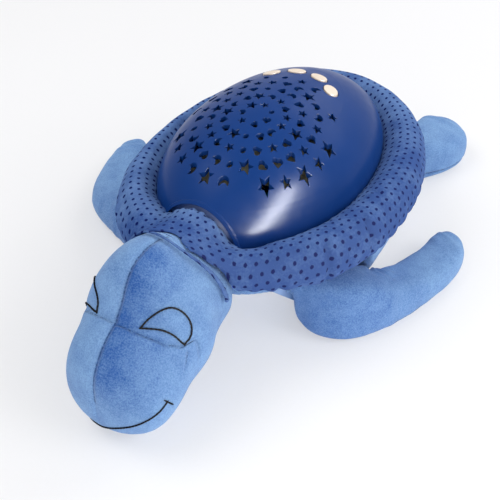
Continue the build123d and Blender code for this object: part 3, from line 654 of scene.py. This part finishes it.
def ring_cloth_place(points):
    """Place of each point on the ring's cloth: along the ring and over its crown, in metres."""
    out, angle = egg_place(points)
    turns = np.linspace(-pi, pi, 721)
    middle = np.stack([
        (SHELL_HALF_WIDTH + RING_MIDDLE_OUT) * np.cos(turns),
        (np.where(np.sin(turns) > 0, SHELL_REAR, SHELL_FRONT) + RING_MIDDLE_OUT) * np.sin(turns),
    ], axis=1)
    reach = np.concatenate([[0], np.cumsum(np.linalg.norm(np.diff(middle, axis=0), axis=1))])
    along = np.interp(angle, turns, reach)
    rise = points[:, 2] - RING_MIDDLE_Z
    away = out - RING_MIDDLE_OUT
    over = (np.arctan2(rise, away) - pi / 2 + pi) % (2 * pi) - pi
    return np.stack([along, over * np.hypot(rise, away), np.zeros(len(points))], axis=1) * MM, out, angle


# ---------------------------------------------------------------------------
# Operators
# ---------------------------------------------------------------------------

materials = {}


class MixMaterials(bpy.types.Operator):
    """Mix the turtle's finishes"""

    bl_idname = "turtle.mix_materials"
    bl_label = "Finishes"

    def execute(self, context):
        colours = context.scene.turtle_colours
        sizes = context.scene.turtle_sizes
        materials.update({
            "shell": moulded_abs("Satin moulded ABS, blue", colours.shell, 0.3, 0.9, 0.008, 0.06, 0.4),
            "inset": moulded_abs("Matte moulded ABS, pale blue", colours.inset, 0.5, 0.6, 0.02),
            "button": moulded_abs("Satin moulded ABS, cream", colours.button, 0.36, 0.7, 0.012, 0.4, 0.4),
            "deck": moulded_abs("Matte moulded ABS, stone", colours.deck, 0.55, 0.5, 0.03),
            "base": moulded_abs("Sparked moulded ABS, blue", colours.base, 0.52, 0.45, 0.04),
            "plush": short_pile_plush("Short-pile plush, blue", colours),
            "ring": dotted_velour("Printed velour, dotted", colours, sizes),
            "thread": rayon_thread("Rayon embroidery thread", colours.thread),
            "screw": plated_metal("Zinc-plated steel", "#b9b8b2", 0.34, 0.4),
            "nickel": plated_metal("Nickel-plated spring steel", "#c9c4b8", 0.24, 0.5),
            "can": plated_metal("Drawn aluminium can", "#c4c6c9", 0.3, 0.6),
            "board": solder_mask("Solder-masked glass epoxy"),
            "epoxy": black_epoxy("Moulded black epoxy"),
            "sleeve": shrink_sleeve("Shrunk vinyl sleeve", "#4d5561"),
            "lens": clear_epoxy("Cast clear epoxy"),
            "wire": wire_jacket("Soft vinyl insulation"),
            "table": table_paint("Matte table paint", colours.floor),
        })
        return {"FINISHED"}


# Lamps: name, place, what it faces, width, height, all in millimetres, and power in watts
SOFTBOXES = (
    ("key_softbox", (-420, -330, 900), (0, -20, 30), 700, 500, 3.8),
    ("back_softbox", (250, 900, 780), (0, 20, 60), 1100, 500, 5.4),
    ("side_softbox", (950, 100, 700), (40, 0, 20), 600, 600, 4.6),
    ("front_fill", (420, -900, 420), (0, -40, 60), 800, 600, 2.2),
)
# The narrow lamp whose reflection is the long streak on the shell, and the way that its length runs
HIGHLIGHT_STRIP = ("highlight_strip", (290, -178, 172), (30, -60, 80), 72, 415, 20.0)
STRIP_WAY = (0.203, 0.586, 0.784)


def softbox(name, place, aim, width, height, power, long_way=(0, 0, 1)):
    """A rectangular lamp at place that faces aim, with its height along long_way."""
    bpy.ops.object.light_add(type="AREA", location=[v * MM for v in place])
    lamp = bpy.context.active_object
    lamp.name = name
    lamp.data.shape = "RECTANGLE"
    lamp.data.size = width * MM
    lamp.data.size_y = height * MM
    lamp.data.energy = power
    back = (Vector(place) - Vector(aim)).normalized()
    up = Vector(long_way)
    up = (up - back * up.dot(back)).normalized()
    lamp.rotation_euler = Matrix((up.cross(back), up, back)).transposed().to_euler()
    return lamp


class SetStage(bpy.types.Operator):
    """Lay the table, hang the lamps and set up the camera"""

    bl_idname = "turtle.stage"
    bl_label = "Stage"

    def execute(self, context):
        scene = context.scene
        scene.view_settings.view_transform = "Standard"
        bpy.ops.object.select_all(action="DESELECT")
        bpy.ops.mesh.primitive_grid_add(x_subdivisions=8, y_subdivisions=8, size=TABLE_WIDTH, location=(0, 0, 0))
        table = context.active_object
        table.name = "table"
        table.data.materials.append(materials["table"])

        for lamp in SOFTBOXES:
            softbox(*lamp)
        strip = softbox(*HIGHLIGHT_STRIP, long_way=STRIP_WAY)
        strip.visible_camera = False
        strip.visible_diffuse = False

        world = bpy.data.worlds.new("studio")
        scene.world = world
        world.use_nodes = True
        tree = world.node_tree
        air = next(n for n in tree.nodes if n.type == "BACKGROUND")
        air.inputs["Color"].default_value = (1, 1, 1, 1)
        air.inputs["Strength"].default_value = AIR_LIGHT
        backdrop = add_node(tree, "ShaderNodeBackground", Color=(1, 1, 1, 1), Strength=1.0)
        mix = add_node(tree, "ShaderNodeMixShader", i0=seen_directly(tree), i1=air.outputs[0], i2=backdrop.outputs[0])
        output = next(n for n in tree.nodes if n.type == "OUTPUT_WORLD")
        tree.links.new(mix.outputs[0], output.inputs["Surface"])

        bpy.ops.object.camera_add(location=CAMERA_PLACE)
        camera = context.active_object
        camera.name = "camera"
        camera.data.sensor_width = CAMERA_SENSOR
        camera.data.lens = CAMERA_LENS
        camera.data.clip_start = 0.01
        way = Vector(CAMERA_TARGET) - camera.location
        camera.rotation_euler = way.to_track_quat("-Z", "Y").to_euler()
        scene.camera = camera
        return {"FINISHED"}


class DressShell(bpy.types.Operator):
    """Finish the pierced shell, its notch, the buttons and the deck under it"""

    bl_idname = "turtle.shell"
    bl_label = "Shell and buttons"

    def execute(self, context):
        dress(["star_dome"], materials["shell"])
        dress(["front_inset"], materials["inset"])
        dress(
            ["left_outer_button", "left_inner_button", "right_inner_button", "right_outer_button"],
            materials["button"],
        )
        dress(["light_deck"], materials["deck"])
        return {"FINISHED"}


class DressBase(bpy.types.Operator):
    """Finish the base tub, its door and what they hold"""

    bl_idname = "turtle.base"
    bl_label = "Base and insides"

    def execute(self, context):
        dress(["base_case", "battery_door"], materials["base"])
        dress(
            ["battery_screw", "case_screws", "deck_screws", "lamp_board_screws", "button_board_screws",
             "main_board_screws"],
            materials["screw"],
        )
        dress(["battery_springs", "contact_plates"], materials["nickel"])
        dress(["battery_cells"], materials["sleeve"])
        dress(["capacitors"], materials["can"])
        dress(["main_board", "lamp_board", "button_board"], materials["board"])
        dress(["control_chip", "button_switches"], materials["epoxy"])
        dress(["projector_leds"], materials["lens"])
        dress(["battery_lead", "led_lead", "button_lead"], materials["wire"])
        dress(["clamped_hem"], materials["ring"])
        return {"FINISHED"}


# The cross seam under the eyes, in millimetres seen from above
CROSS_SEAM = ((0, -142), (10, -141), (17, -138.4), (23, -135.3), (28, -130.5), (30.5, -123))


def cross_seam_distance(points):
    """How far each point of the head lies from the cross seam, seen from above."""
    line = np.array(CROSS_SEAM)
    return points[:, 1] - np.interp(np.abs(points[:, 0]), line[:, 0], line[:, 1])


# Lumps of the head's filling: centre, reach and way
HEAD_FILLING = (
    ((26, -143, 36), (14, 22, 18), (4.0, 1.0, 0)),
    ((22, -154, 24), (12, 12, 12), (2.6, 0.0, 0)),
    ((-24, -150, 32), (14, 18, 18), (2.4, 0.6, 0)),
    ((10, -104, 83), (16, 7, 9), (0, 0.8, -1.6)),
    ((31, -115, 50), (10, 10, 24), (5.5, 0, 0)),
)


class StuffHead(bpy.types.Operator):
    """Sew and stuff the head and neck"""

    bl_idname = "turtle.head"
    bl_label = "Head"

    def execute(self, context):
        depth = context.scene.turtle_sizes.seam_depth / MM
        head = cloth_copy("plush_head", "head_plush", 3.2)
        soften(head, 6)
        rest = points_of(head)
        stuff(head, 3.0, 0.4 + 1.6 * ramp(-rest[:, 1], 104, 122))
        set_points(head, nudge(points_of(head), *HEAD_FILLING))
        subdivide(head, 2)
        points = points_of(head)
        top = ramp(normals_of(head)[:, 2], -0.35, 0.05)
        forward = ramp(-points[:, 1], 100, 116)
        middle = bell(points[:, 0], 1.3) * forward * ramp(normals_of(head)[:, 2] - normals_of(head)[:, 1], 0.0, 0.35)
        wide_middle = bell(points[:, 0], 5.5) * forward
        off = cross_seam_distance(points)
        upper = ramp(points[:, 2], 26, 40)
        cross = bell(off, 1.1) * upper
        wide_cross = bell(off, 4.5) * upper * ramp(-np.abs(points[:, 0]), -31, -22)
        push(head, -depth * (0.75 * middle + 0.35 * wide_middle + 0.8 * cross + 0.5 * wide_cross) * top)
        points = points_of(head)
        # Painted shade: the brow and the muzzle right of the middle seam are darkened, standing in for the shade on
        # plush whose pile faces away from the light.
        side = np.clip(points[:, 0], 0, None)
        right = ramp(points[:, 0], -0.6, 0.6) * bell(side, 17)
        brow = right * ramp(-points[:, 1], 100, 118) * ramp(off, -0.4, 0.6) * 1.15
        muzzle = right ** 0.45 * ramp(-off, -0.6, 0.4) * (0.15 + 0.95 * ramp(points[:, 2], 24, 50))
        store(head, "painted_shade", np.clip(brow + muzzle, 0, 1.2))
        lengthwise = np.abs(points[:, 0]) + 9 * (1 - ramp(-points[:, 1], 96, 99) * ramp(points[:, 2], 26, 30))
        crosswise = 1.5 * np.abs(cross_seam_distance(points)) + 9 * (1 - ramp(points[:, 2], 40, 43))
        dart = line_distance(points, ((30, -129, 50), (31, -134, 43)))
        store(head, "seam", np.minimum(np.minimum(lengthwise, crosswise), dart) * MM)
        finish_soft(head, "plush_head", "turtle", materials["plush"])
        return {"FINISHED"}


# How the neck's filling spreads the hem: centre, reach and way
HEM_SPREAD = (
    ((33, -99, 58), (11, 14, 16), (1.2, -0.4, 0)),
    ((22, -99, 76), (11, 14, 14), (1.5, -0.8, 0.6)),
    ((10, -97, 83), (17, 14, 12), (0, -3.4, 1.0)),
)
# Places where the ring's padding is drawn over the shell's corner and forward over the hem
RING_FILLING = (
    ((-25, -70, 68), (9, 9, 9), (1.0, 2.5, 4.0)),
    ((10, -93, 82), (17, 12, 12), (0, -3.0, 0.8)),
    ((32, -78, 76), (13, 12, 10), (0.5, -1.0, -3.0)),
)

# How far the ring's inner side leans onto the shell, and how far the saddle over the neck is lifted
RING_LEAN = 3.2
SADDLE_LIFT = 1.6
# Places of the ring's two seams over its crown, outward negative
OUTER_SEAM = -27
INNER_SEAM = 17

# Creases across the padded ring: place along it, lowest and highest place over its crown, and depth
RING_CREASES = (
    (185.0, -28, -6, 1.5), (209.5, -24, -4, 1.6), (163.5, -30, -16, 0.9), (228.0, -7, 3, 0.9),
    (196.0, -24, -14, 0.8), (64.5, -28, -10, 0.9), (70.5, -30, -9, 1.2), (76.5, -28, -12, 0.9), (137.0, -22, -8, 0.7),
    (250.0, -26, -12, 0.8), (22.0, -26, -10, 0.8), (300.0, -24, -8, 0.8), (350.0, -26, -8, 0.8),
    (405.0, -24, -9, 0.8),
)


def outward(angle):
    """The level direction at each angle round the shell."""
    return np.stack([np.cos(angle), np.sin(angle)], axis=1)


def pad_ring(ring):
    """Swells the ring, leans its inner side onto the shell and lifts its saddle over the neck."""
    points = points_of(ring)
    out, angle = egg_place(points)
    swell = np.interp(np.degrees(angle), *np.transpose(RING_SWELL)) * ramp(out, 4, 17)
    away = outward(angle)
    points[:, :2] += swell[:, None] * away
    over = ring_cloth_place(points)[0][:, 1] / MM
    beside = 1 - ramp(-points[:, 1], 44, 54) * ramp(-np.abs(points[:, 0]), -34, -26)
    points[:, :2] -= (RING_LEAN * ramp(over, 3, 14) * ramp(points[:, 2], 60, 68) * beside)[:, None] * away
    saddle = ramp(-points[:, 1], 52, 58) * ramp(-np.abs(points[:, 0]), -27, -22) * ramp(-out, -3, 1)
    set_points(ring, nudge(points, *RING_FILLING))
    push(ring, SADDLE_LIFT * saddle)


def ring_creases(along, over):
    """Height of the creases across the ring, each with a bank on either side."""
    creases = np.zeros(len(along))
    for crease_along, low, high, depth in RING_CREASES:
        wander = along - crease_along - 0.12 * (over + 10) - 0.8 * np.sin(over / 5.0)
        share = ramp(over, low - 4, low + 4) * ramp(-over, -high - 4, 4 - high)
        banks = 0.55 * bell(wander + 3.4, 2.2) + 0.55 * bell(wander - 3.4, 2.2)
        creases += depth * share * (banks - bell(wander, 1.3))
    return creases


def ring_gathers(points, along, over):
    """Height of the pleats and tucks at the ring's two seams and of the slow folds between them."""
    wobble = 0.8 * np.sin(along / 23.0) + 0.6 * np.sin(along / 9.1 + 1.3)
    outer_seam = bell(over - OUTER_SEAM, 8)
    inner_seam = bell(over - INNER_SEAM, 6)
    front = ramp(-points[:, 1], 55, 85)
    pleats = np.cos(2 * pi * (along + 2.2 * wobble) / 9.5) * outer_seam * (0.5 + 0.5 * np.sin(along / 17.0))
    tucks = np.cos(2 * pi * (along + 3 * wobble) / 7.0) * inner_seam * 0.45
    folds = np.cos(2 * pi * (along + 4 * wobble) / 21.0) * bell(over, 20) * 0.35 * (0.4 + front)
    return pleats + tucks + folds


def clear_shell(ring):
    """Moves the ring's cloth out of the shell, except at the saddle, which lies on it."""
    points = points_of(ring)
    out, angle = egg_place(points)
    low_or_beside = (points[:, 2] < 68) & ((np.abs(points[:, 0]) > 28) | (points[:, 1] > -50))
    short = np.clip(0.5 - out, 0, 6) * low_or_beside
    points[:, :2] += short[:, None] * outward(angle)
    set_points(ring, points)
    return angle


class SewRing(bpy.types.Operator):
    """Sew and pad the dotted ring round the shell, with its hem over the neck"""

    bl_idname = "turtle.ring"
    bl_label = "Ring and hem"

    def execute(self, context):
        gather = context.scene.turtle_sizes.gather / MM
        ring = cloth_copy("shell_ring", "ring_cloth", 3.4)
        soften(ring, 7)
        stuff(ring, 2.0, np.full(len(ring.data.vertices), 1.2))
        pad_ring(ring)
        subdivide(ring, 2)
        points = points_of(ring)
        place = ring_cloth_place(points)[0]
        along, over = place[:, 0] / MM, place[:, 1] / MM
        push(ring, gather * ring_gathers(points, along, over) + ring_creases(along, over))
        angle = clear_shell(ring)
        store(ring, "cloth", place)
        # Painted shade: the ring's outer side is darkened at the front, on the side that faces the camera, where less
        # light falls.
        store(ring, "painted_shade", 0.62 * ramp(np.cos(angle + radians(40)), -0.15, 0.6) * ramp(-over, -14, 2))
        finish_soft(ring, "shell_ring", "turtle", materials["ring"])

        hem = cloth_copy("front_hem", "neck_hem", 0.55)
        soften(hem, 3)
        set_points(hem, nudge(points_of(hem), *HEM_SPREAD))
        store(hem, "cloth", ring_cloth_place(points_of(hem))[0])
        # Painted shade: the hem under the ring's front is darkened evenly.
        store(hem, "painted_shade", np.full(len(hem.data.vertices), 0.3))
        finish_soft(hem, "front_hem", "turtle", materials["ring"])
        return {"FINISHED"}


# How far the belly's side is tucked in under the ring, and the height of the seam between them
BELLY_TUCK = 2.6
BELLY_SEAM_Z = 46


class StuffBelly(bpy.types.Operator):
    """Sew the belly under the ring, tucked in and gathered along its seam"""

    bl_idname = "turtle.belly"
    bl_label = "Belly"

    def execute(self, context):
        belly = cloth_copy("belly_pad", "belly_plush", 2.2)
        soften(belly, 2)
        points = points_of(belly)
        place, out, angle = ring_cloth_place(points)
        along = place[:, 0] / MM
        points[:, :2] -= (BELLY_TUCK * ramp(out, 7, 15))[:, None] * outward(angle)
        set_points(belly, points)
        gathers = np.cos(2 * pi * along / 8.0) * bell(points[:, 2] - BELLY_SEAM_Z, 5) * ramp(out, 8, 14)
        push(belly, 0.35 * gathers)
        # Painted shade: the belly darkens along its seam under the ring.
        store(belly, "painted_shade", 0.25 * bell(points[:, 2] - BELLY_SEAM_Z, 4))
        store(belly, "seam", np.full(len(points), 9 * MM))
        finish_soft(belly, "belly_pad", "turtle", materials["plush"])
        return {"FINISHED"}


def gather_folds(points, centre, span):
    """Puckers that fan out from a gathered spot and fade over its span."""
    run = points[:, :2] - centre
    reach = np.hypot(run[:, 0], run[:, 1])
    fan = np.arctan2(run[:, 1], run[:, 0])
    fade = ramp(reach, 0, span[0]) * ramp(-reach, -span[1], -span[0])
    return 0.75 * np.cos(9 * fan + 0.6 * np.sin(reach / 4.0)) * fade


# Node, body, hinge, height of the edge seam, radius of the root, lumps of the filling, the gathered spot, and
# a run that ends at the hinge, for a flipper that is baked in place on no body
FLIPPERS = (
    ("flipper_front_left", "front_left_flipper", (60.0, -31.0), 4.2, 18.5, (
        ((42, -44, 18), (13, 13, 20), (-8, -5, 0)),
        ((40, -40, 34), (9, 12, 9), (-6, -5, 0)),
        ((94, 26, 12), (14, 26, 16), (2.5, 0.5, 0)),
    ), ((61, -4), (5, 22)), ((42, -46, 12), (60, -31, 12))),
    ("flipper_front_right", "front_right_flipper", (-60.0, -31.0), 4.2, 18.5, (
        ((-108, -16, 12), (26, 32, 20), (-8, -7, 0)),
        ((-122, 32, 12), (22, 16, 20), (-3, 9, 0)),
    ), ((-72, -14), (12, 26)), None),
    ("flipper_rear_left", "rear_left_flipper", (37.0, 73.0), 5.2, 17.5, (
        ((59, 128, 12), (12, 18, 20), (-3, 2, 0)),
        ((49, 106, 12), (12, 14, 20), (-4, 3, 0)),
        ((22, 158, 12), (12, 12, 20), (-4, 4, 0)),
    ), None, None),
    ("flipper_rear_right", "rear_right_flipper", (-37.0, 73.0), 5.2, 17.5, (
        ((-49, 106, 12), (12, 14, 20), (3, 3, 0)),
    ), None, None),
)


class StuffFlippers(bpy.types.Operator):
    """Sew and stuff the four flippers"""

    bl_idname = "turtle.flippers"
    bl_label = "Flippers"

    def execute(self, context):
        depth = context.scene.turtle_sizes.seam_depth / MM
        for node, body, root, seam_z, root_radius, filling, gather, held in FLIPPERS:
            flipper = cloth_copy(node, node.replace("flipper", "flipper_plush"), 2.8)
            soften(flipper, 10)
            rest = points_of(flipper)
            reach = np.hypot(rest[:, 0] - root[0], rest[:, 1] - root[1])
            stuff(flipper, 3.0, 0.05 + 1.7 * ramp(reach, root_radius, root_radius + 12))
            set_points(flipper, nudge(points_of(flipper), *filling))
            subdivide(flipper, 2)
            points = points_of(flipper)
            reach = np.hypot(points[:, 0] - root[0], points[:, 1] - root[1])
            blade = ramp(reach, root_radius, root_radius + 10)
            level = np.abs(normals_of(flipper)[:, 2])
            edge = bell(points[:, 2] - seam_z, 1.0) * ramp(-level, -0.6, -0.3)
            tip = ramp(reach, reach.max() * 0.62, reach.max())
            wave = reach + 2.5 * np.sin(points[:, 0] / 7.0 + 1.0) + 1.5 * np.sin(points[:, 1] / 4.3)
            ripple = np.cos(2 * pi * wave / 7.5) * tip * ramp(level, 0.3, 0.9)
            root_folds = np.cos(2 * pi * points[:, 0] / 9.0 + points[:, 1] / 14.0) * bell(reach - root_radius - 6, 9)
            folds = gather_folds(points, *gather) * ramp(normals_of(flipper)[:, 2], 0.2, 0.7) if gather else 0.0
            push(flipper, blade * (-0.7 * depth * edge + 0.4 * ripple) + 0.3 * root_folds * blade + folds)
            # Painted shade: each flipper darkens along its edge seam and towards its root under the body.
            store(flipper, "painted_shade", 0.2 * edge + 0.6 * (1 - ramp(reach, root_radius - 4, root_radius + 42)))
            store(flipper, "seam", (np.abs(points[:, 2] - seam_z) + 9 * (1 - blade)) * MM)
            finish_soft(flipper, node, None if held else body, materials["plush"])
            if held:
                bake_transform(flipper)
        return {"FINISHED"}


# Lines of the closed eyes, the smile and its left end, on the head's surface, in millimetres
LEFT_LID = ((11.8, -138.3, 63.7), (17.2, -135.7, 63.6), (21.3, -133.4, 62.5), (25, -131.1, 59.2), (28, -128.5, 53.4))
LEFT_ARCH = (
    (12, -138.2, 63.8), (13.3, -135.9, 66.4), (15.5, -133.5, 69.1), (18.3, -130.4, 71.3), (20.8, -127, 71.3),
    (23.4, -124.2, 68.6), (25.7, -122.7, 64.9), (27.4, -122.6, 61), (28.4, -124.2, 57.1), (28, -128.5, 53.2),
)
RIGHT_LID = ((-11.8, -139.1, 61.8), (-16.7, -137, 60.7), (-21.1, -134.6, 58.9), (-25, -132, 56), (-27.8, -129, 51.5))
RIGHT_ARCH = (
    (-11.8, -139.1, 61.8), (-11.9, -137.4, 65), (-14.1, -134.9, 67.7), (-17.4, -132.3, 69.4), (-20.6, -128.5, 70),
    (-24, -124.5, 67), (-26.6, -123, 62), (-28, -125, 56.5), (-27.8, -129, 51),
)
SMILE = (
    (-29.2, -144, 33.5), (-28.2, -145, 30.5), (-26.5, -146.5, 27), (-24, -148.5, 22), (-21, -151.5, 16.5),
    (-17, -152.5, 11.5), (-12, -154.5, 9), (-6, -157.5, 9.2), (0, -159.1, 11.2), (5, -160, 14.2), (10, -160, 17.5),
    (15.4, -159.4, 20.9), (18.9, -158.4, 23.5), (22.5, -157, 26.3), (25.6, -154.8, 29.3), (28.2, -151.7, 32.1),
    (29.9, -147.3, 35.4),
)
SMILE_TICK = ((29.4, -148.2, 36.6), (30.7, -145.2, 32.4))


class SewFace(bpy.types.Operator):
    """Embroider the closed eyes and the smile"""

    bl_idname = "turtle.face"
    bl_label = "Face"

    def execute(self, context):
        sizes = context.scene.turtle_sizes
        head = bpy.data.objects["head_plush"]
        thread = sizes.thread / MM
        stitch = sizes.stitch / MM
        for name, arch, lid in (("left", LEFT_ARCH, LEFT_LID), ("right", RIGHT_ARCH, RIGHT_LID)):
            eye = sew(f"eye_{name}", [arch, lid], thread, stitch, head)
            finish_soft(eye, None, "turtle", materials["thread"])
        ticks = [SMILE_TICK, [(-x, y, z) for x, y, z in SMILE_TICK]]
        mouth = sew("smile", [SMILE, *ticks], thread * 0.9, stitch, head)
        finish_soft(mouth, None, "turtle", materials["thread"])
        return {"FINISHED"}


class TurtlePanel(bpy.types.Panel):
    """The turtle's steps and settings"""

    bl_idname = "VIEW3D_PT_turtle"
    bl_label = "Plush turtle night light"
    bl_space_type = "VIEW_3D"
    bl_region_type = "UI"
    bl_category = "Turtle"

    def draw(self, context):
        for step in STEPS:
            self.layout.operator(step.bl_idname)
        for group in (context.scene.turtle_sizes, context.scene.turtle_colours):
            box = self.layout.box()
            for key in group.bl_rna.properties.keys():
                if key not in ("rna_type", "name"):
                    box.prop(group, key)


STEPS = (MixMaterials, SetStage, DressShell, DressBase, StuffHead, SewRing, StuffBelly, StuffFlippers, SewFace)
GROUPS = (TurtleSizes, TurtleColours)


def register():
    for cls in (*GROUPS, *STEPS, TurtlePanel):
        bpy.utils.register_class(cls)
    bpy.types.Scene.turtle_sizes = PointerProperty(type=TurtleSizes)
    bpy.types.Scene.turtle_colours = PointerProperty(type=TurtleColours)


def unregister():
    del bpy.types.Scene.turtle_colours
    del bpy.types.Scene.turtle_sizes
    for cls in reversed((*GROUPS, *STEPS, TurtlePanel)):
        bpy.utils.unregister_class(cls)


def main():
    """Registers the add-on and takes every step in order."""
    register()
    for step in STEPS:
        group, name = step.bl_idname.split(".")
        getattr(getattr(bpy.ops, group), name)()


if __name__ == "__main__":
    main()
